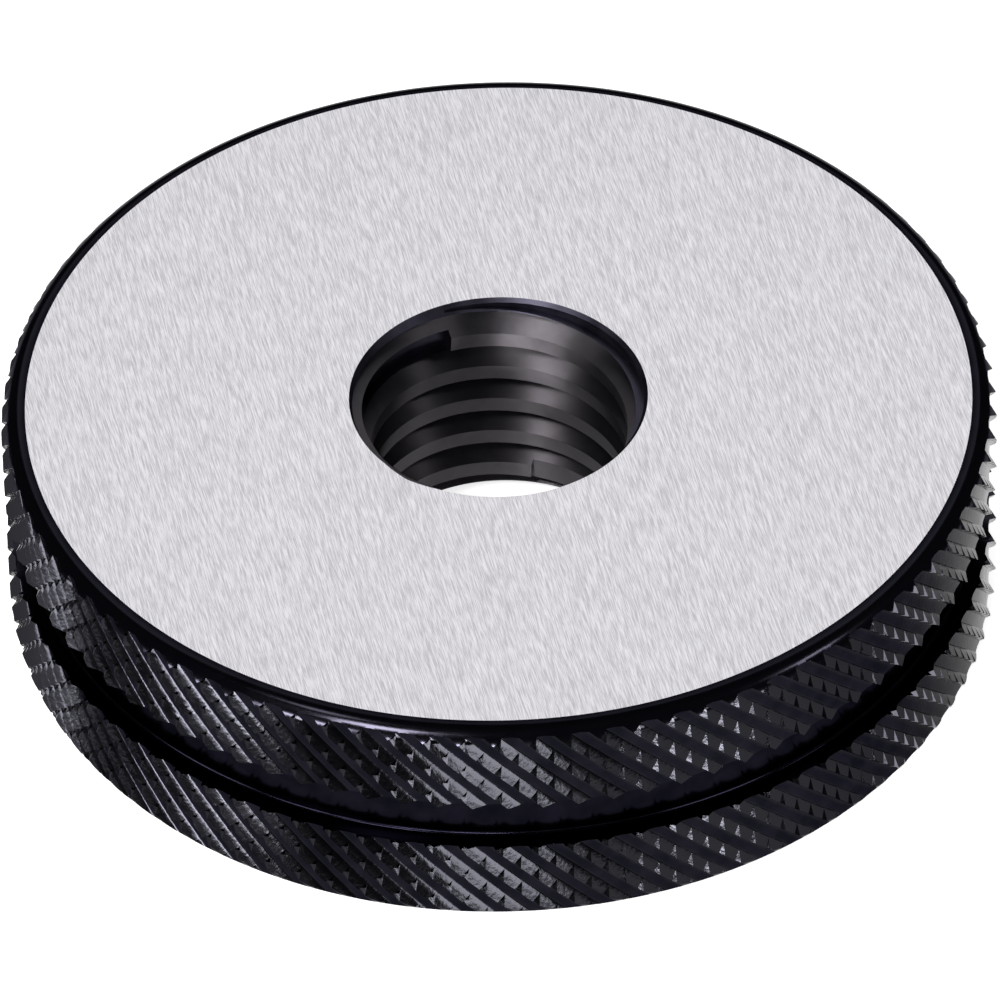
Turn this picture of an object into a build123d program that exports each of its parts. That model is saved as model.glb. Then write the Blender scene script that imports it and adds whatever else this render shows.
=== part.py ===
from build123d import *
import os
from math import cos, pi, radians, sin, tan

# Solid NOT GO thread ring gauge for M12 x 1.75, right-hand. Millimetres.
# The bore's axis is Z and the lower ground face lies on z = 0.

# rim
rim_diameter = 40.0  # over the knurl's points
thickness = 10.0
edge_radius = 1.0  # rounds both corners of the rim

# groove turned round the middle of the rim, the mark of a NOT GO ring
groove_width = 2.3
groove_depth = 1.0

# diamond knurl on the bands either side of the groove
knurl_pitch = 1.4  # point to point round the rim
knurl_depth = 0.3
knurl_stock = 0.2  # left on the bands for the knurl's points to come out sharp

# thread
thread_pitch = 1.75
crest_diameter = 10.35
pitch_diameter = 10.70
root_diameter = 12.2  # relieved clear of the screw's own crests
flank_angle = 30.0
mid_crest_angle = 104.0  # direction in which a crest crosses mid height

# both mouths: a countersink, and the thin first thread milled away to a blunt start
mouth_diameter = 12.0
mouth_angle = 90.0
start_width = 1.05
start_diameter = 11.7
upper_start_angle = 111.0
lower_start_angle = 76.0

rim_radius = rim_diameter / 2
mid_height = thickness / 2
crest_radius = crest_diameter / 2
pitch_radius = pitch_diameter / 2
root_radius = root_diameter / 2
mouth_radius = mouth_diameter / 2
mouth_depth = (mouth_radius - crest_radius) / tan(radians(mouth_angle / 2))


def turned_blank():
    """The ring off the lathe: bore, countersinks, rounded rim corners and rim groove."""
    face_edge = rim_radius - edge_radius
    band = rim_radius + knurl_stock
    floor = rim_radius - groove_depth
    groove_low = mid_height - groove_width / 2
    groove_high = mid_height + groove_width / 2
    with BuildPart() as blank:
        with BuildSketch(Plane.XZ):
            with BuildLine():
                Polyline(
                    (face_edge, 0),
                    (mouth_radius, 0),
                    (crest_radius, mouth_depth),
                    (crest_radius, thickness - mouth_depth),
                    (mouth_radius, thickness),
                    (face_edge, thickness),
                )
                JernArc((face_edge, thickness), (1, 0), edge_radius, -90)
                Polyline(
                    (rim_radius, thickness - edge_radius),
                    (band, thickness - edge_radius),
                    (band, groove_high),
                    (floor, groove_high),
                    (floor, groove_low),
                    (band, groove_low),
                    (band, edge_radius),
                    (rim_radius, edge_radius),
                )
                JernArc((rim_radius, edge_radius), (0, -1), edge_radius, -90)
            make_face()
        revolve(axis=Axis.Z)
    return blank.part


def helical_cutter(profile, height, angle, turns):
    """A closed profile of (radius, offset) points, swept up the thread's lead from one direction."""
    path = Edge.make_helix(thread_pitch, turns * thread_pitch, crest_radius)
    section = Face(Wire.make_polygon([(r, 0, z) for r, z in profile], close=True))
    cutter = Solid.sweep(section, path, is_frenet=True)
    return Pos(0, 0, height) * Rot(0, 0, angle) * cutter


def thread_grooves():
    """The V groove between the crests, one turn at a time from below the ring to above it."""
    inner = crest_radius - 0.3
    slope = tan(radians(flank_angle))
    half_inner = thread_pitch / 4 + (pitch_radius - inner) * slope
    half_root = thread_pitch / 4 - (root_radius - pitch_radius) * slope
    profile = [(inner, -half_inner), (inner, half_inner), (root_radius, half_root), (root_radius, -half_root)]
    half_turns = int(mid_height / thread_pitch) + 2
    return [
        helical_cutter(profile, mid_height + (turn + 0.5) * thread_pitch, mid_crest_angle, 1)
        for turn in range(-half_turns, half_turns - 1)
    ]


def crest_height(angle, near):
    """Height of the crest line in one direction, on the turn nearest to a given height."""
    lead = mid_height + thread_pitch * (angle - mid_crest_angle) / 360
    return lead + thread_pitch * round((near - lead) / thread_pitch)


def blunt_starts():
    """At each mouth the last, thinning turn of crest is milled away from its full form outwards."""
    inner = crest_radius - 0.3
    outer = start_diameter / 2
    half = start_width / 2
    profile = [(inner, -half), (inner, half), (outer, half), (outer, -half)]
    reach = mouth_depth + start_width / 2
    upper = crest_height(upper_start_angle, thickness - reach)
    lower = crest_height(lower_start_angle, reach) - thread_pitch
    return [
        helical_cutter(profile, upper, upper_start_angle, 1),
        helical_cutter(profile, lower, lower_start_angle, 1),
    ]


def knurled_drum():
    """A drum covered all over in four-sided points, which the turned blank is cut down to."""
    teeth = round(2 * pi * rim_radius / knurl_pitch)
    half_row = pi * rim_radius / teeth
    root = rim_radius - knurl_depth
    rows = int(mid_height / half_row) + 1

    def spot(column, row, radius):
        angle = 2 * pi * column / teeth
        return Vector(radius * cos(angle), radius * sin(angle), mid_height + row * half_row)

    def facet(*corners):
        return Face(Wire.make_polygon(corners, close=True))

    facets = []
    for row in range(-rows, rows):
        for tooth in range(teeth):
            # the upper half of a point on this row's line, then the lower half of one on the next
            for column, line, side in ((tooth, row, 1), (tooth + 0.5, row + 1, -1)):
                column += (row % 2) / 2
                point = spot(column, line, rim_radius)
                valley = spot(column, line + side, root)
                facets.append(facet(point, spot(column - 0.5, line, root), valley))
                facets.append(facet(point, valley, spot(column + 0.5, line, root)))
    for row in (-rows, rows):
        columns = [tooth + (row % 2) / 2 for tooth in range(teeth)]
        ends = [(spot(c, row, rim_radius), spot(c + 0.5, row, root)) for c in columns]
        facets.append(facet(*[corner for pair in ends for corner in pair]))
    return Solid(Shell(facets))


gauge_ring = turned_blank()
for cutter in thread_grooves() + blunt_starts():
    gauge_ring -= cutter
gauge_ring &= knurled_drum()
print("gauge_ring: volume", round(gauge_ring.volume, 1), "mm3, faces", len(gauge_ring.faces()))

os.makedirs("parts", exist_ok=True)
export_step(gauge_ring, "parts/gauge_ring.step", write_pcurves=False)
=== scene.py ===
import math
import bpy
from mathutils import Matrix, Vector


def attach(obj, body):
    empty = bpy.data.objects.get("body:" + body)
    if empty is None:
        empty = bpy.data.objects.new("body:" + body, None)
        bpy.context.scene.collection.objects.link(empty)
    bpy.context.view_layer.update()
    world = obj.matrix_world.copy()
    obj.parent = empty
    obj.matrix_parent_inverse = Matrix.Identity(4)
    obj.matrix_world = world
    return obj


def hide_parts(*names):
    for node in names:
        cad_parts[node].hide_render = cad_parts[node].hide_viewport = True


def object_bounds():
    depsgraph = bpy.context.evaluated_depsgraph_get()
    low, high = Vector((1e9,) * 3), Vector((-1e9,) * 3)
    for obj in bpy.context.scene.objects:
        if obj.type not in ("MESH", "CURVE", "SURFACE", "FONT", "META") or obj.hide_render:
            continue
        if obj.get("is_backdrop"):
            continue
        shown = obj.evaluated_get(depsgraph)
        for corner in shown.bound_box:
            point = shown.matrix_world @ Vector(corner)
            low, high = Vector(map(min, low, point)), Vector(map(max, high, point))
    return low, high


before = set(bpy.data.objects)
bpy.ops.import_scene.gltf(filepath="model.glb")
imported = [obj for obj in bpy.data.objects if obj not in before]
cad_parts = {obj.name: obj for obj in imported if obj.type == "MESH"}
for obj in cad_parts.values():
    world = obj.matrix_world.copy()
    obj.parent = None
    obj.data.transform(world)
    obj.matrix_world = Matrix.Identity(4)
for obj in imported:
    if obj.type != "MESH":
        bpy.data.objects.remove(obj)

mm = 0.001
low, high = (Vector(corner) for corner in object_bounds())
middle = (low + high) / 2
rimRadius = (high.x - low.x) / 2  # over the knurl's points
thickness = high.z - low.z
print("frame: ring %.1f mm across, %.1f mm thick" % (2000 * rimRadius, 1000 * thickness))


# small helpers that every tree below is put together with
def newTree(name, kind, inputs, outputs):
    tree = bpy.data.node_groups.new(name, kind)
    for label, socketType, value in inputs:
        socket = tree.interface.new_socket(label, in_out="INPUT", socket_type=socketType)
        if value is not None:
            socket.default_value = value
    for label, socketType in outputs:
        tree.interface.new_socket(label, in_out="OUTPUT", socket_type=socketType)
    return tree, tree.nodes.new("NodeGroupInput").outputs, tree.nodes.new("NodeGroupOutput").inputs


def wire(tree, socket, value):
    if isinstance(value, bpy.types.NodeSocket):
        tree.links.new(value, socket)
    elif value is not None:
        socket.default_value = value


def add(tree, kind, values=(), **settings):
    node = tree.nodes.new(kind)
    for name, value in settings.items():
        setattr(node, name, value)
    for key, value in dict(values).items():
        wire(tree, node.inputs[key], value)
    return node


def calc(tree, kind, *values):
    node = add(tree, "ShaderNodeMath", operation=kind)
    for socket, value in zip(node.inputs, values):
        wire(tree, socket, value)
    return node.outputs[0]


def heightHere(tree):
    position = add(tree, "GeometryNodeInputPosition").outputs[0]
    return add(tree, "ShaderNodeSeparateXYZ", {0: position}).outputs[2]


def patternPlace(tree, turn, stretch):
    place = add(tree, "ShaderNodeMapping", vector_type="TEXTURE")
    place.inputs["Rotation"].default_value = (0, 0, turn)
    place.inputs["Scale"].default_value = stretch
    tree.links.new(add(tree, "ShaderNodeTexCoord").outputs["Object"], place.inputs["Vector"])
    return place.outputs[0]


def makeGrainGroup():
    # straight scratches laid one way, as a surface grinder leaves them
    tree, given, result = newTree("grindingGrain", "ShaderNodeTree", [
        ("Fine Width", "NodeSocketFloat", grain["fineWidth"]),
        ("Broad Width", "NodeSocketFloat", grain["broadWidth"]),
    ], [("Fine", "NodeSocketFloat"), ("Broad", "NodeSocketFloat")])
    fine = patternPlace(tree, grain["direction"], (grain["fineLength"], 1, 1))
    broad = patternPlace(tree, grain["direction"] + grain["spread"], (grain["broadLength"], 1, 1))
    for label, place, width, detail in (("Fine", fine, "Fine Width", 2), ("Broad", broad, "Broad Width", 3)):
        noise = add(tree, "ShaderNodeTexNoise", {
            "Vector": place, "Detail": detail, "Roughness": grain["noiseRoughness"]})
        wire(tree, noise.inputs["Scale"], calc(tree, "DIVIDE", 1.0, given[width]))
        wire(tree, result[label], noise.outputs[0])
    return tree


def makeMottleGroup():
    # the fine cloudiness of an oxide skin, and the specks that stand in it
    tree, given, result = newTree("oxideMottle", "ShaderNodeTree", [
        ("Scale", "NodeSocketFloat", mottle["scale"]),
        ("Speck Scale", "NodeSocketFloat", mottle["speckScale"]),
    ], [("Cloud", "NodeSocketFloat"), ("Speck", "NodeSocketFloat")])
    place = add(tree, "ShaderNodeTexCoord").outputs["Object"]
    cloud = add(tree, "ShaderNodeTexNoise", {"Vector": place, "Scale": given["Scale"], "Detail": 3})
    speck = add(tree, "ShaderNodeTexNoise", {"Vector": place, "Scale": given["Speck Scale"], "Detail": 2})
    wire(tree, result["Cloud"], cloud.outputs[0])
    wire(tree, result["Speck"], speck.outputs[0])
    return tree


def spread(tree, value, start, end, toStart, toEnd):
    values = {"Value": value, "From Min": start, "From Max": end, "To Min": toStart, "To Max": toEnd}
    return add(tree, "ShaderNodeMapRange", values).outputs[0]


def blend(tree, share, first, second):
    # sockets 6, 7 and output 2 are the colour ones of a Mix node
    mix = add(tree, "ShaderNodeMix", {0: share, 6: first, 7: second}, data_type="RGBA")
    return mix.outputs[2]


def ramp(tree, value, start, end, darkColour, lightColour):
    return blend(tree, spread(tree, value, start, end, 0.0, 1.0), (*darkColour, 1), (*lightColour, 1))


def newMaterial(name):
    material = bpy.data.materials.new(name)
    material.use_nodes = True
    tree = material.node_tree
    return material, tree, tree.nodes["Principled BSDF"]


grain = {
    "direction": math.radians(101.5),
    "spread": math.radians(1.5),
    "fineWidth": 0.035 * mm,
    "fineLength": 24.0,  # lengths are in widths of the same scratch
    "fineShare": 0.72,
    "broadWidth": 0.09 * mm,
    "broadLength": 9.0,
    "broadShare": 0.28,
    "noiseRoughness": 0.6,
}

mottle = {
    "scale": 900.0,
    "speckScale": 5200.0,
    "colourRange": (0.35, 0.65),  # part of the noise that runs from the dark colour to the light one
    "roughnessRange": (0.3, 0.7),
}

groundSteel = {
    "dark": (0.545, 0.53, 0.555),
    "light": (0.885, 0.865, 0.90),
    "contrast": (0.40, 0.60),
    "roughnessRange": (0.3, 0.7),
    "roughness": (0.34, 0.46),
    "bump": 0.25,
    "bumpDepth": 0.01 * mm,
}

# an oxide's colour is its reflection head on
# wear holds the depths below the rim where burnishing starts and ends
blackOxide = {
    "dark": (0.0030, 0.0030, 0.0055),
    "light": (0.0060, 0.0055, 0.0095),
    "worn": (0.021, 0.020, 0.027),
    "wear": (0.95 * mm, 0.50 * mm),
    "roughness": (0.13, 0.18),
    "edgeTint": (0.5, 0.5, 0.5),
    "bump": 0.04,
    "bumpDepth": 0.02 * mm,
}

knurlOxide = {
    "dark": (0.005, 0.005, 0.008),
    "light": (0.009, 0.0085, 0.013),
    "worn": (0.0155, 0.0155, 0.0185),
    "wear": (0.295 * mm, 0.265 * mm),
    "roughness": (0.12, 0.18),
    "edgeTint": (0.5, 0.5, 0.5),
    "bump": 0.35,
    "bumpDepth": 0.02 * mm,
}

mouthOxide = {
    **blackOxide,
    "dark": (0.034, 0.032, 0.046),
    "light": (0.050, 0.047, 0.064),
    "roughness": (0.32, 0.40),
}

threadSteel = {
    "dark": (0.090, 0.083, 0.092),
    "light": (0.118, 0.109, 0.119),
    "roughness": (0.46, 0.50),
    "anisotropy": 0.95,
    "quarterTurn": 0.25,  # stands the highlight upright in the bore
}


def makeGroundSteel(grainGroup):
    material, tree, shader = newMaterial("groundSteel")
    look = add(tree, "ShaderNodeGroup", node_tree=grainGroup)
    streak = calc(tree, "ADD", calc(tree, "MULTIPLY", look.outputs["Fine"], grain["fineShare"]),
                  calc(tree, "MULTIPLY", look.outputs["Broad"], grain["broadShare"]))
    colour = ramp(tree, streak, *groundSteel["contrast"], groundSteel["dark"], groundSteel["light"])
    wire(tree, shader.inputs["Base Color"], colour)
    dull = spread(tree, look.outputs["Broad"], *groundSteel["roughnessRange"], *groundSteel["roughness"])
    wire(tree, shader.inputs["Roughness"], dull)
    bump = add(tree, "ShaderNodeBump", {
        "Strength": groundSteel["bump"], "Distance": groundSteel["bumpDepth"], "Height": streak})
    wire(tree, shader.inputs["Normal"], bump.outputs[0])
    shader.inputs["Metallic"].default_value = 1.0
    return material


def makeOxide(name, look, mottleGroup):
    # a dark, glossy skin, burnished where hands reach it
    material, tree, shader = newMaterial(name)
    cloudy = add(tree, "ShaderNodeGroup", node_tree=mottleGroup)
    skin = ramp(tree, cloudy.outputs["Cloud"], *mottle["colourRange"], look["dark"], look["light"])
    place = add(tree, "ShaderNodeTexCoord").outputs["Object"]
    flat = add(tree, "ShaderNodeVectorMath", {0: place, 1: (1, 1, 0)}, operation="MULTIPLY")
    radius = add(tree, "ShaderNodeVectorMath", {0: flat.outputs[0]}, operation="LENGTH").outputs["Value"]
    wearStart, wearEnd = look["wear"]
    burnished = spread(tree, radius, rimRadius - wearStart, rimRadius - wearEnd, 0.0, 1.0)
    wire(tree, shader.inputs["Base Color"], blend(tree, burnished, skin, (*look["worn"], 1)))
    dull = spread(tree, cloudy.outputs["Cloud"], *mottle["roughnessRange"], *look["roughness"])
    wire(tree, shader.inputs["Roughness"], dull)
    bump = add(tree, "ShaderNodeBump", {
        "Strength": look["bump"], "Distance": look["bumpDepth"], "Height": cloudy.outputs["Speck"]})
    wire(tree, shader.inputs["Normal"], bump.outputs[0])
    shader.inputs["Metallic"].default_value = 1.0
    shader.inputs["Specular Tint"].default_value = (*look["edgeTint"], 1)
    return material


def makeThreadSteel(mottleGroup):
    # satin steel that stretches a highlight one way, as cut flanks do
    material, tree, shader = newMaterial("threadSteel")
    cloudy = add(tree, "ShaderNodeGroup", node_tree=mottleGroup)
    colour = ramp(tree, cloudy.outputs["Cloud"], *mottle["colourRange"],
                  threadSteel["dark"], threadSteel["light"])
    wire(tree, shader.inputs["Base Color"], colour)
    dull = spread(tree, cloudy.outputs["Cloud"], *mottle["roughnessRange"], *threadSteel["roughness"])
    wire(tree, shader.inputs["Roughness"], dull)
    shader.inputs["Metallic"].default_value = 1.0
    shader.inputs["Anisotropic"].default_value = threadSteel["anisotropy"]
    shader.inputs["Anisotropic Rotation"].default_value = threadSteel["quarterTurn"]
    tangent = add(tree, "ShaderNodeTangent", direction_type="RADIAL", axis="Z")
    wire(tree, shader.inputs["Tangent"], tangent.outputs[0])
    return material


# bore, countersinks, rounded corners and rim groove, turned as one profile
blank = {
    "edgeRadius": 1.0 * mm,
    "grooveWidth": 2.3 * mm,
    "grooveDepth": 1.0 * mm,
    "grooveCorner": 0.15 * mm,
    "knurlStock": 0.02 * mm,
    "boreDiameter": 10.35 * mm,
    "mouthDiameter": 12.0 * mm,
    "roundRings": 12,
    "cornerRings": 4,
    "steps": 720,
    "sharpAngle": math.radians(30),
    "groundSkin": 0.0001 * mm,  # how far below an end face a facet still counts as ground
}


def arc(centreR, centreZ, radius, start, end, rings):
    angles = [math.radians(start + (end - start) * i / rings) for i in range(rings + 1)]
    return [(centreR + radius * math.cos(a), centreZ + radius * math.sin(a)) for a in angles]


def blankProfile():
    # (radius, height, finish) up the outside and down the bore
    # the finish is that of the face up to the next point
    edge, corner = blank["edgeRadius"], blank["grooveCorner"]
    band = rimRadius + blank["knurlStock"]
    floor = rimRadius - blank["grooveDepth"]
    bore, mouth = blank["boreDiameter"] / 2, blank["mouthDiameter"] / 2
    half = thickness / 2
    sink = mouth - bore
    # upper half of the outside, from the groove's middle line to the top
    outside = arc(floor + corner, blank["grooveWidth"] / 2 - corner, corner, 180, 90, blank["cornerRings"])
    outside += [(band, blank["grooveWidth"] / 2), (band, half - edge)]
    outside += arc(rimRadius - edge, half - edge, edge, 0, 90, blank["roundRings"])
    upper = [(r, z, "oxide") for r, z in outside]
    upper[-1] = (*outside[-1], "ground")
    inside = [(mouth, half, "mouth"), (bore, half - sink, "thread")]
    inside += [(bore, sink - half, "mouth"), (mouth, -half, "ground")]
    lower = [(r, -z, "oxide") for r, z in reversed(outside)]
    return [(r, middle.z + z, finish) for r, z, finish in upper + inside + lower]


def turnBlank(finishes):
    profile = blankProfile()
    steps, rings = blank["steps"], len(profile)
    points = []
    for step in range(steps):
        angle = 2 * math.pi * step / steps
        points += [(r * math.cos(angle), r * math.sin(angle), z) for r, z, finish in profile]
    faces = []
    for step in range(steps):
        here, there = step * rings, (step + 1) % steps * rings
        for ring in range(rings):
            after = (ring + 1) % rings
            faces.append((here + ring, there + ring, there + after, here + after))
    mesh = bpy.data.meshes.new("gaugeRing")
    mesh.from_pydata(points, [], faces)
    order = list(finishes)
    for finish in order:
        mesh.materials.append(finishes[finish])
    for face in mesh.polygons:
        face.material_index = order.index(profile[face.index % rings][2])
    ring = bpy.data.objects.new("gaugeRing", mesh)
    bpy.context.collection.objects.link(ring)
    print("turned blank:", len(points), "points")
    return ring


knurl = {
    "teeth": 90,
    "rows": 17,
    "notchDepth": 0.25 * mm,
    # across a ridge, up and to the right: place as a share of the pitch, and depth below the crest
    "ridge": ((0.37, 0.25 * mm), (0.40, 0.28 * mm), (0.64, 0.30 * mm), (0.90, 0.27 * mm)),
    # along a ridge: where a notch's long side comes up to the crest, and where the next one drops from it
    "notch": (0.31, 0.93),
    "groovePlace": -0.69,  # shifts the pattern round the rim, in pitches
    "roughness": 0.02 * mm,
    "roughnessScale": 3800.0,
    "stillNoise": 0.75,  # noise that leaves the skin where it is; most of it is lower and pushes inwards
    "mergeGap": 0.002 * mm,
}


def knurlTile():
    # one diamond of the pattern: a ridge with its crest, sloping top and valley, and the notch across it
    turn = 2 * math.pi / knurl["teeth"]
    pitch = turn * rimRadius
    notch = knurl["notchDepth"]
    rise, drop = knurl["notch"]
    (topEnd, topDepth), *valley = knurl["ridge"]
    wallFoot, wallDepth = valley[-1]
    wallNotch = 1 - (1 - wallFoot) * notch / wallDepth
    points, faces = [], []

    def spot(u, v, depth):
        across = u + knurl["groovePlace"]
        angle, radius = (across + v) / 2 * turn, rimRadius - depth
        point = (radius * math.cos(angle), radius * math.sin(angle), (across - v) / 2 * pitch)
        if point not in points:
            points.append(point)
        return points.index(point)

    def face(*corners):
        faces.append([spot(*corner) for corner in corners])

    face((0, 0, notch), (0, rise, 0), (topEnd, 0, topDepth))
    face((0, rise, 0), (0, drop, 0), (topEnd, 1, topDepth), (topEnd, 0, topDepth))
    face((0, drop, 0), (0, 1, notch), (topEnd, 1, topDepth))
    for (near, nearDepth), (far, farDepth) in zip(knurl["ridge"], valley):
        face((near, 0, nearDepth), (near, 1, nearDepth), (far, 1, farDepth), (far, 0, farDepth))
    face((wallFoot, 0, wallDepth), (wallFoot, 1, wallDepth), (wallNotch, 1, notch),
         (1, drop, 0), (1, rise, 0), (wallNotch, 0, notch))
    face((wallNotch, 0, notch), (1, rise, 0), (1, 0, notch))
    face((wallNotch, 1, notch), (1, 1, notch), (1, drop, 0))
    mesh = bpy.data.meshes.new("knurlTile")
    mesh.from_pydata(points, [], faces)
    tile = bpy.data.objects.new("knurlTile", mesh)
    bpy.context.collection.objects.link(tile)
    return tile


def makeKnurlTree():
    # lays the tile round a drum on both hands of helix, closes the drum's ends and roughens it a little
    tree, given, result = newTree("knurledDrum", "GeometryNodeTree", [
        ("Tile", "NodeSocketObject", None),
        ("Teeth", "NodeSocketInt", knurl["teeth"]), ("Rows", "NodeSocketInt", knurl["rows"]),
        ("Radius", "NodeSocketFloat", rimRadius), ("Height", "NodeSocketFloat", thickness),
        ("Roughness", "NodeSocketFloat", 0.0),
        ("Roughness Scale", "NodeSocketFloat", knurl["roughnessScale"]),
        ("Merge Gap", "NodeSocketFloat", knurl["mergeGap"]), ("Material", "NodeSocketMaterial", None),
    ], [("Mesh", "NodeSocketGeometry")])
    tile = add(tree, "GeometryNodeObjectInfo", {"Object": given["Tile"]})
    fine = add(tree, "GeometryNodeSubdivideMesh", {"Mesh": tile.outputs["Geometry"], "Level": 1})
    single = add(tree, "GeometryNodeGeometryToInstance", {0: fine.outputs[0]})
    many = add(tree, "GeometryNodeDuplicateElements", {
        "Geometry": single.outputs[0], "Amount": calc(tree, "MULTIPLY", given["Teeth"], given["Rows"])},
        domain="INSTANCE")
    index = many.outputs["Duplicate Index"]
    rowUp = calc(tree, "FLOOR", calc(tree, "DIVIDE", index, given["Teeth"]))
    row = calc(tree, "SUBTRACT", rowUp, calc(tree, "FLOOR", calc(tree, "DIVIDE", given["Rows"], 2.0)))
    column = calc(tree, "ADD", calc(tree, "MODULO", index, given["Teeth"]), calc(tree, "MULTIPLY", row, 0.5))
    turn = calc(tree, "DIVIDE", 2 * math.pi, given["Teeth"])
    halfPitch = calc(tree, "MULTIPLY", calc(tree, "MULTIPLY", turn, given["Radius"]), 0.5)
    angle = add(tree, "ShaderNodeCombineXYZ", {2: calc(tree, "MULTIPLY", column, turn)}).outputs[0]
    rise = add(tree, "ShaderNodeCombineXYZ", {2: calc(tree, "MULTIPLY", row, halfPitch)}).outputs[0]
    spun = add(tree, "GeometryNodeRotateInstances", {"Instances": many.outputs[0], "Rotation": angle})
    spun.inputs["Local Space"].default_value = False
    raised = add(tree, "GeometryNodeTranslateInstances", {"Instances": spun.outputs[0], "Translation": rise})
    raised.inputs["Local Space"].default_value = False
    real = add(tree, "GeometryNodeRealizeInstances", {"Geometry": raised.outputs[0]})
    joined = add(tree, "GeometryNodeMergeByDistance", {
        "Geometry": real.outputs[0], "Distance": given["Merge Gap"]})
    # a rough skin, pushed in towards the axis
    position = add(tree, "GeometryNodeInputPosition").outputs[0]
    noise = add(tree, "ShaderNodeTexNoise", {
        "Vector": position, "Scale": given["Roughness Scale"], "Detail": 1})
    flat = add(tree, "ShaderNodeVectorMath", {0: position, 1: (1, 1, 0)}, operation="MULTIPLY")
    outward = add(tree, "ShaderNodeVectorMath", {0: flat.outputs[0]}, operation="NORMALIZE")
    push = add(tree, "ShaderNodeVectorMath", {0: outward.outputs[0]}, operation="SCALE")
    depth = calc(tree, "SUBTRACT", noise.outputs[0], knurl["stillNoise"])
    wire(tree, push.inputs["Scale"], calc(tree, "MULTIPLY", depth, given["Roughness"]))
    rough = add(tree, "GeometryNodeSetPosition", {"Geometry": joined.outputs[0], "Offset": push.outputs[0]})
    # each open end is drawn in to one point on the axis
    neighbours = add(tree, "GeometryNodeInputMeshEdgeNeighbors").outputs[0]
    openEdge = add(tree, "FunctionNodeCompare", {2: neighbours, 3: 1}, data_type="INT", operation="EQUAL")
    walls = add(tree, "GeometryNodeExtrudeMesh", {
        "Mesh": rough.outputs[0], "Selection": openEdge.outputs[0], "Offset Scale": 0.0}, mode="EDGES")
    height = heightHere(tree)
    end = calc(tree, "MULTIPLY", calc(tree, "SIGN", height), given["Height"])
    centre = add(tree, "ShaderNodeCombineXYZ", {2: end})
    closed = add(tree, "GeometryNodeSetPosition", {
        "Geometry": walls.outputs["Mesh"], "Selection": walls.outputs["Top"], "Position": centre.outputs[0]})
    sealed = add(tree, "GeometryNodeMergeByDistance", {
        "Geometry": closed.outputs[0], "Distance": given["Merge Gap"]})
    whole = add(tree, "GeometryNodeRealizeInstances", {"Geometry": sealed.outputs[0]})
    finished = add(tree, "GeometryNodeSetMaterial", {
        "Geometry": whole.outputs[0], "Material": given["Material"]})
    wire(tree, result["Mesh"], finished.outputs[0])
    return tree


thread = {
    "pitch": 1.75 * mm,
    "pitchDiameter": 10.70 * mm,
    "rootDiameter": 12.2 * mm,
    "flankAngle": math.radians(30),
    "midCrestAngle": math.radians(104),  # where a crest crosses mid height
    "steps": 240,
    "spare": 0.3 * mm,  # how far the cutters reach inside the bore
    "startWidth": 1.05 * mm,
    "startDiameter": 11.7 * mm,
    "lowerStartDiameter": 10.8 * mm,  # shallower than the upper one, so it shows only as a small step
    "upperStart": math.radians(111),
    "lowerStart": math.radians(76),
}


def makeCutterTree():
    # a trapezium swept up a right-hand helix
    tree, given, result = newTree("helicalCutter", "GeometryNodeTree", [
        ("Pitch", "NodeSocketFloat", 0.0), ("Turns", "NodeSocketFloat", 1.0), ("Steps", "NodeSocketInt", 120),
        ("Inner Radius", "NodeSocketFloat", 0.0), ("Outer Radius", "NodeSocketFloat", 0.0),
        ("Inner Width", "NodeSocketFloat", 0.0), ("Outer Width", "NodeSocketFloat", 0.0),
        ("Start Angle", "NodeSocketFloat", 0.0), ("Start Height", "NodeSocketFloat", 0.0),
        ("Material", "NodeSocketMaterial", None),
    ], [("Mesh", "NodeSocketGeometry")])
    radial = calc(tree, "SUBTRACT", given["Outer Radius"], given["Inner Radius"])
    spiral = add(tree, "GeometryNodeCurveSpiral", {
        "Resolution": given["Steps"], "Rotations": given["Turns"], "Start Radius": given["Inner Radius"],
        "End Radius": given["Inner Radius"], "Height": calc(tree, "MULTIPLY", given["Pitch"], given["Turns"]),
        "Reverse": True})
    upright = add(tree, "GeometryNodeSetCurveNormal", {"Curve": spiral.outputs[0]}, mode="Z_UP")
    shape = add(tree, "GeometryNodeCurvePrimitiveQuadrilateral", {
        "Bottom Width": given["Inner Width"], "Top Width": given["Outer Width"],
        "Height": radial, "Offset": 0.0}, mode="TRAPEZOID")
    seat = add(tree, "GeometryNodeTransform", {"Geometry": shape.outputs[0]})
    wire(tree, seat.inputs["Translation"],
         add(tree, "ShaderNodeCombineXYZ", {0: calc(tree, "MULTIPLY", radial, 0.5)}).outputs[0])
    seat.inputs["Rotation"].default_value = (0, 0, math.radians(-90))
    sweep = add(tree, "GeometryNodeCurveToMesh", {
        "Curve": upright.outputs[0], "Profile Curve": seat.outputs[0], "Fill Caps": True})
    lift = add(tree, "ShaderNodeCombineXYZ", {2: given["Start Height"]}).outputs[0]
    turn = add(tree, "ShaderNodeCombineXYZ", {2: given["Start Angle"]}).outputs[0]
    moved = add(tree, "GeometryNodeTransform", {
        "Geometry": sweep.outputs[0], "Translation": lift, "Rotation": turn})
    whole = add(tree, "GeometryNodeRealizeInstances", {"Geometry": moved.outputs[0]})
    finished = add(tree, "GeometryNodeSetMaterial", {
        "Geometry": whole.outputs[0], "Material": given["Material"]})
    wire(tree, result["Mesh"], finished.outputs[0])
    return tree


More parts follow.
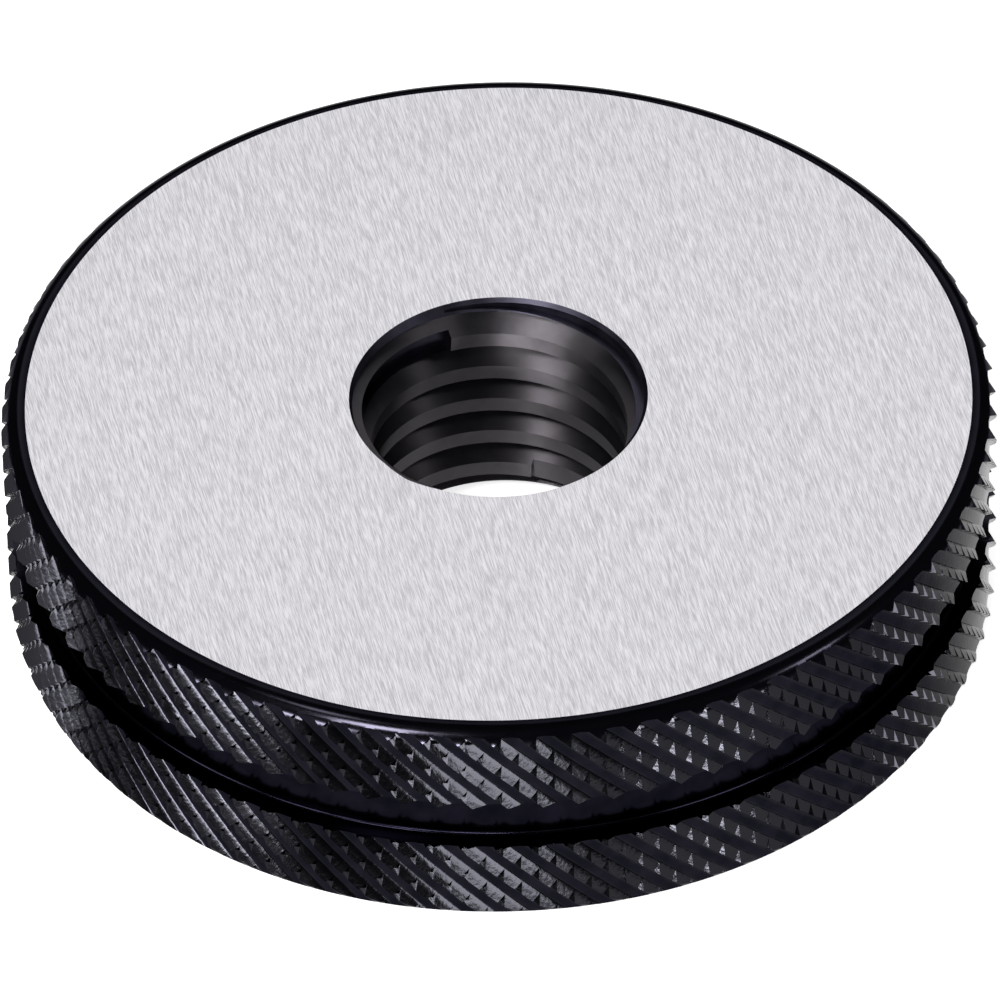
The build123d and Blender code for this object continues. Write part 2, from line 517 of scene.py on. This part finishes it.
def cutterValues():
    # the V groove between crests, then the milled start at the top and the one at the bottom
    pitch, slope = thread["pitch"], math.tan(thread["flankAngle"])
    inner = blank["boreDiameter"] / 2 - thread["spare"]
    outer = thread["rootDiameter"] / 2

    def grooveWidth(radius):
        return pitch / 2 - 2 * (radius - thread["pitchDiameter"] / 2) * slope

    def crestHeight(angle, near):
        lead = middle.z + pitch * (angle - thread["midCrestAngle"]) / (2 * math.pi)
        return lead + pitch * round((near - lead) / pitch)

    shared = {"Pitch": pitch, "Steps": thread["steps"], "Inner Radius": inner}
    turns = round(thickness / pitch) + 3
    groove = {**shared, "Turns": float(turns), "Outer Radius": outer, "Inner Width": grooveWidth(inner),
              "Outer Width": grooveWidth(outer), "Start Angle": thread["midCrestAngle"],
              "Start Height": middle.z + pitch / 2 - math.ceil(turns / 2) * pitch}
    milled = {**shared, "Turns": 1.0, "Outer Radius": thread["startDiameter"] / 2,
              "Inner Width": thread["startWidth"], "Outer Width": thread["startWidth"]}
    sink = (blank["mouthDiameter"] - blank["boreDiameter"]) / 2
    reach = sink + thread["startWidth"] / 2
    upper = {**milled, "Start Angle": thread["upperStart"],
             "Start Height": crestHeight(thread["upperStart"], high.z - reach)}
    lower = {**milled, "Outer Radius": thread["lowerStartDiameter"] / 2, "Start Angle": thread["lowerStart"],
             "Start Height": crestHeight(thread["lowerStart"], low.z + reach) - pitch}
    return groove, upper, lower


def finishRing(ring, finishes):
    tile = knurlTile()
    tree, given, result = newTree("gaugeRing", "GeometryNodeTree", [
        ("Blank", "NodeSocketGeometry", None),
        ("Knurl Material", "NodeSocketMaterial", None), ("Thread Material", "NodeSocketMaterial", None),
        ("Mouth Material", "NodeSocketMaterial", None), ("Ground Material", "NodeSocketMaterial", None),
        ("Sharp Angle", "NodeSocketFloat", blank["sharpAngle"]),
    ], [("Mesh", "NodeSocketGeometry")])
    drum = add(tree, "GeometryNodeGroup", {
        "Tile": tile, "Teeth": knurl["teeth"], "Rows": knurl["rows"], "Radius": rimRadius,
        "Height": thickness, "Roughness": knurl["roughness"], "Roughness Scale": knurl["roughnessScale"],
        "Merge Gap": knurl["mergeGap"], "Material": given["Knurl Material"]}, node_tree=makeKnurlTree())
    lift = add(tree, "GeometryNodeTransform", {"Geometry": drum.outputs[0]})
    lift.inputs["Translation"].default_value = (0, 0, middle.z)
    # what the blank and the knurled drum share; both go into the second socket, which takes many meshes
    knurled = add(tree, "GeometryNodeMeshBoolean", {"Mesh 2": lift.outputs[0]},
                  operation="INTERSECT", solver="MANIFOLD")
    tree.links.new(given["Blank"], knurled.inputs["Mesh 2"])
    current = knurled.outputs[0]
    cutterTree = makeCutterTree()
    for values, material in zip(cutterValues(), ("Thread Material", "Mouth Material", "Thread Material")):
        cutter = add(tree, "GeometryNodeGroup", values, node_tree=cutterTree)
        wire(tree, cutter.inputs["Material"], given[material])
        cut = add(tree, "GeometryNodeMeshBoolean", {"Mesh 1": current, "Mesh 2": cutter.outputs[0]},
                  operation="DIFFERENCE", solver="MANIFOLD")
        current = cut.outputs[0]
    bend = add(tree, "GeometryNodeInputMeshEdgeAngle").outputs[0]
    sharp = add(tree, "FunctionNodeCompare", {0: bend, 1: given["Sharp Angle"]}, operation="GREATER_THAN")
    smooth = add(tree, "GeometryNodeSetShadeSmooth", {"Geometry": current, "Shade Smooth": True},
                 domain="FACE")
    crisp = add(tree, "GeometryNodeSetShadeSmooth", {
        "Geometry": smooth.outputs[0], "Selection": sharp.outputs[0], "Shade Smooth": False}, domain="EDGE")
    real = add(tree, "GeometryNodeRealizeInstances", {"Geometry": crisp.outputs[0]})
    # the two end faces are ground bright last of all
    fromMiddle = calc(tree, "ABSOLUTE", calc(tree, "SUBTRACT", heightHere(tree), middle.z))
    endFace = calc(tree, "GREATER_THAN", fromMiddle, thickness / 2 - blank["groundSkin"])
    ground = add(tree, "GeometryNodeSetMaterial", {
        "Geometry": real.outputs[0], "Selection": endFace, "Material": given["Ground Material"]})
    wire(tree, result["Mesh"], ground.outputs[0])

    modifier = ring.modifiers.new("gaugeRing", "NODES")
    modifier.node_group = tree
    sockets = {item.name: item.identifier for item in tree.interface.items_tree if item.in_out == "INPUT"}
    for finish in ("knurl", "thread", "mouth", "ground"):
        modifier[sockets[finish.capitalize() + " Material"]] = finishes[finish]
    view = bpy.context.evaluated_depsgraph_get()
    baked = bpy.data.meshes.new_from_object(ring.evaluated_get(view), depsgraph=view)
    ring.modifiers.remove(modifier)
    bpy.data.objects.remove(tile)
    ring.data = baked
    baked.name = "gaugeRing"
    triangles = sum(len(face.vertices) - 2 for face in baked.polygons)
    print("gauge ring:", len(baked.polygons), "faces,", triangles, "triangles")
    return ring


studio = {
    "floorSize": 4.0,
    "floorColour": (0.8, 0.8, 0.8),
    "floorRoughness": 0.9,
    "floorGlow": 0.8,  # brings the unshaded floor up to white for the camera and for reflections
    "worldColour": (0.85, 0.9, 1.0),
    "worldStrength": 0.10,
    # azimuth and elevation in degrees, distance, width and height in metres, brightness of the lit panel
    "lamps": {
        "backPanel": (90, 46, 0.6, 0.60, 0.50, 1.05),
        "frontPanel": (-46, 6, 0.5, 0.19, 0.10, 16.0),
        "frontStrip": (-103, 13.5, 0.5, 0.21, 0.06, 50.0),
        "sidePanel": (204, 6, 0.5, 0.16, 0.09, 22.0),
        "rimSoftbox": (228, 22, 0.5, 0.16, 0.07, 34.0),
        "frontSoftbox": (236, 54, 0.5, 0.10, 0.10, 34.0),
        "rightSoftbox": (-13, 44, 0.5, 0.07, 0.05, 12.0),
        "leftSoftbox": (198, 69, 0.5, 0.07, 0.07, 6.0),
    },
}


def makeFloor():
    material, tree, shader = newMaterial("paleFloor")
    shader.inputs["Base Color"].default_value = (*studio["floorColour"], 1)
    shader.inputs["Roughness"].default_value = studio["floorRoughness"]
    shader.inputs["Specular IOR Level"].default_value = 0.0
    shader.inputs["Emission Color"].default_value = (1, 1, 1, 1)
    path = add(tree, "ShaderNodeLightPath")
    seen = calc(tree, "MAXIMUM", path.outputs["Is Camera Ray"], path.outputs["Is Glossy Ray"])
    seen = calc(tree, "MAXIMUM", seen, path.outputs["Is Transmission Ray"])
    wire(tree, shader.inputs["Emission Strength"], calc(tree, "MULTIPLY", seen, studio["floorGlow"]))
    half = studio["floorSize"] / 2
    mesh = bpy.data.meshes.new("floor")
    corners = [(-half, -half, 0), (half, -half, 0), (half, half, 0), (-half, half, 0)]
    mesh.from_pydata(corners, [], [(0, 1, 2, 3)])
    mesh.materials.append(material)
    floor = bpy.data.objects.new("floor", mesh)
    bpy.context.collection.objects.link(floor)
    floor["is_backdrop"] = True


def makeWorld():
    world = bpy.data.worlds.new("studio")
    bpy.context.scene.world = world
    world.use_nodes = True
    background = world.node_tree.nodes["Background"]
    background.inputs["Color"].default_value = (*studio["worldColour"], 1)
    background.inputs["Strength"].default_value = studio["worldStrength"]


def makeLamps():
    for name, (azimuth, elevation, distance, width, height, brightness) in studio["lamps"].items():
        lamp = bpy.data.lights.new(name, "AREA")
        lamp.shape = "RECTANGLE"
        lamp.size, lamp.size_y = width, height
        lamp.energy = brightness * math.pi * width * height
        turn, rise = math.radians(azimuth), math.radians(elevation)
        away = Vector((math.cos(turn) * math.cos(rise), math.sin(turn) * math.cos(rise), math.sin(rise)))
        lampObject = bpy.data.objects.new(name, lamp)
        lampObject.location = middle + away * distance
        lampObject.rotation_euler = away.to_track_quat("Z", "Y").to_euler()
        bpy.context.collection.objects.link(lampObject)


# distance in metres, roll in radians, lens in millimetres; the two aims are slopes off the view's middle
camera = {
    "distance": 0.5602,
    "elevation": math.radians(41.85),
    "roll": -0.0247882,
    "lens": 502.74,
    "aimRight": -6.977e-05,
    "aimUp": -0.0074292,
    "clipStart": 0.01,
}


def makeCamera():
    # looks along +Y at the middle of the upper face from above the front
    rise, roll = camera["elevation"], camera["roll"]
    back = Vector((0, -math.cos(rise), math.sin(rise)))
    right = Vector((1, 0, 0))
    up = right.cross(-back)
    ahead = (-back + camera["aimRight"] * right + camera["aimUp"] * up).normalized()
    right = (right - right.dot(ahead) * ahead).normalized()
    up = right.cross(ahead)
    right, up = math.cos(roll) * right + math.sin(roll) * up, math.cos(roll) * up - math.sin(roll) * right
    lens = bpy.data.cameras.new("camera")
    lens.lens = camera["lens"]
    lens.clip_start = camera["clipStart"]
    eye = bpy.data.objects.new("camera", lens)
    place = Matrix((right, up, -ahead)).transposed().to_4x4()
    place.translation = Vector((0, 0, high.z)) + back * camera["distance"]
    eye.matrix_world = place
    bpy.context.collection.objects.link(eye)
    bpy.context.scene.camera = eye


grainGroup = makeGrainGroup()
mottleGroup = makeMottleGroup()
finishes = {
    "ground": makeGroundSteel(grainGroup),
    "oxide": makeOxide("blackOxide", blackOxide, mottleGroup),
    "thread": makeThreadSteel(mottleGroup),
    "knurl": makeOxide("knurlOxide", knurlOxide, mottleGroup),
    "mouth": makeOxide("mouthOxide", mouthOxide, mottleGroup),
}
print("finishes:", ", ".join(finishes))
ring = finishRing(turnBlank(finishes), finishes)
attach(ring, "root")
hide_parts("gauge_ring")
makeFloor()
makeWorld()
makeLamps()
makeCamera()
print("studio:", len(studio["lamps"]), "lamps")
bpy.context.scene.view_settings.view_transform = "Standard"

print("scene ready")
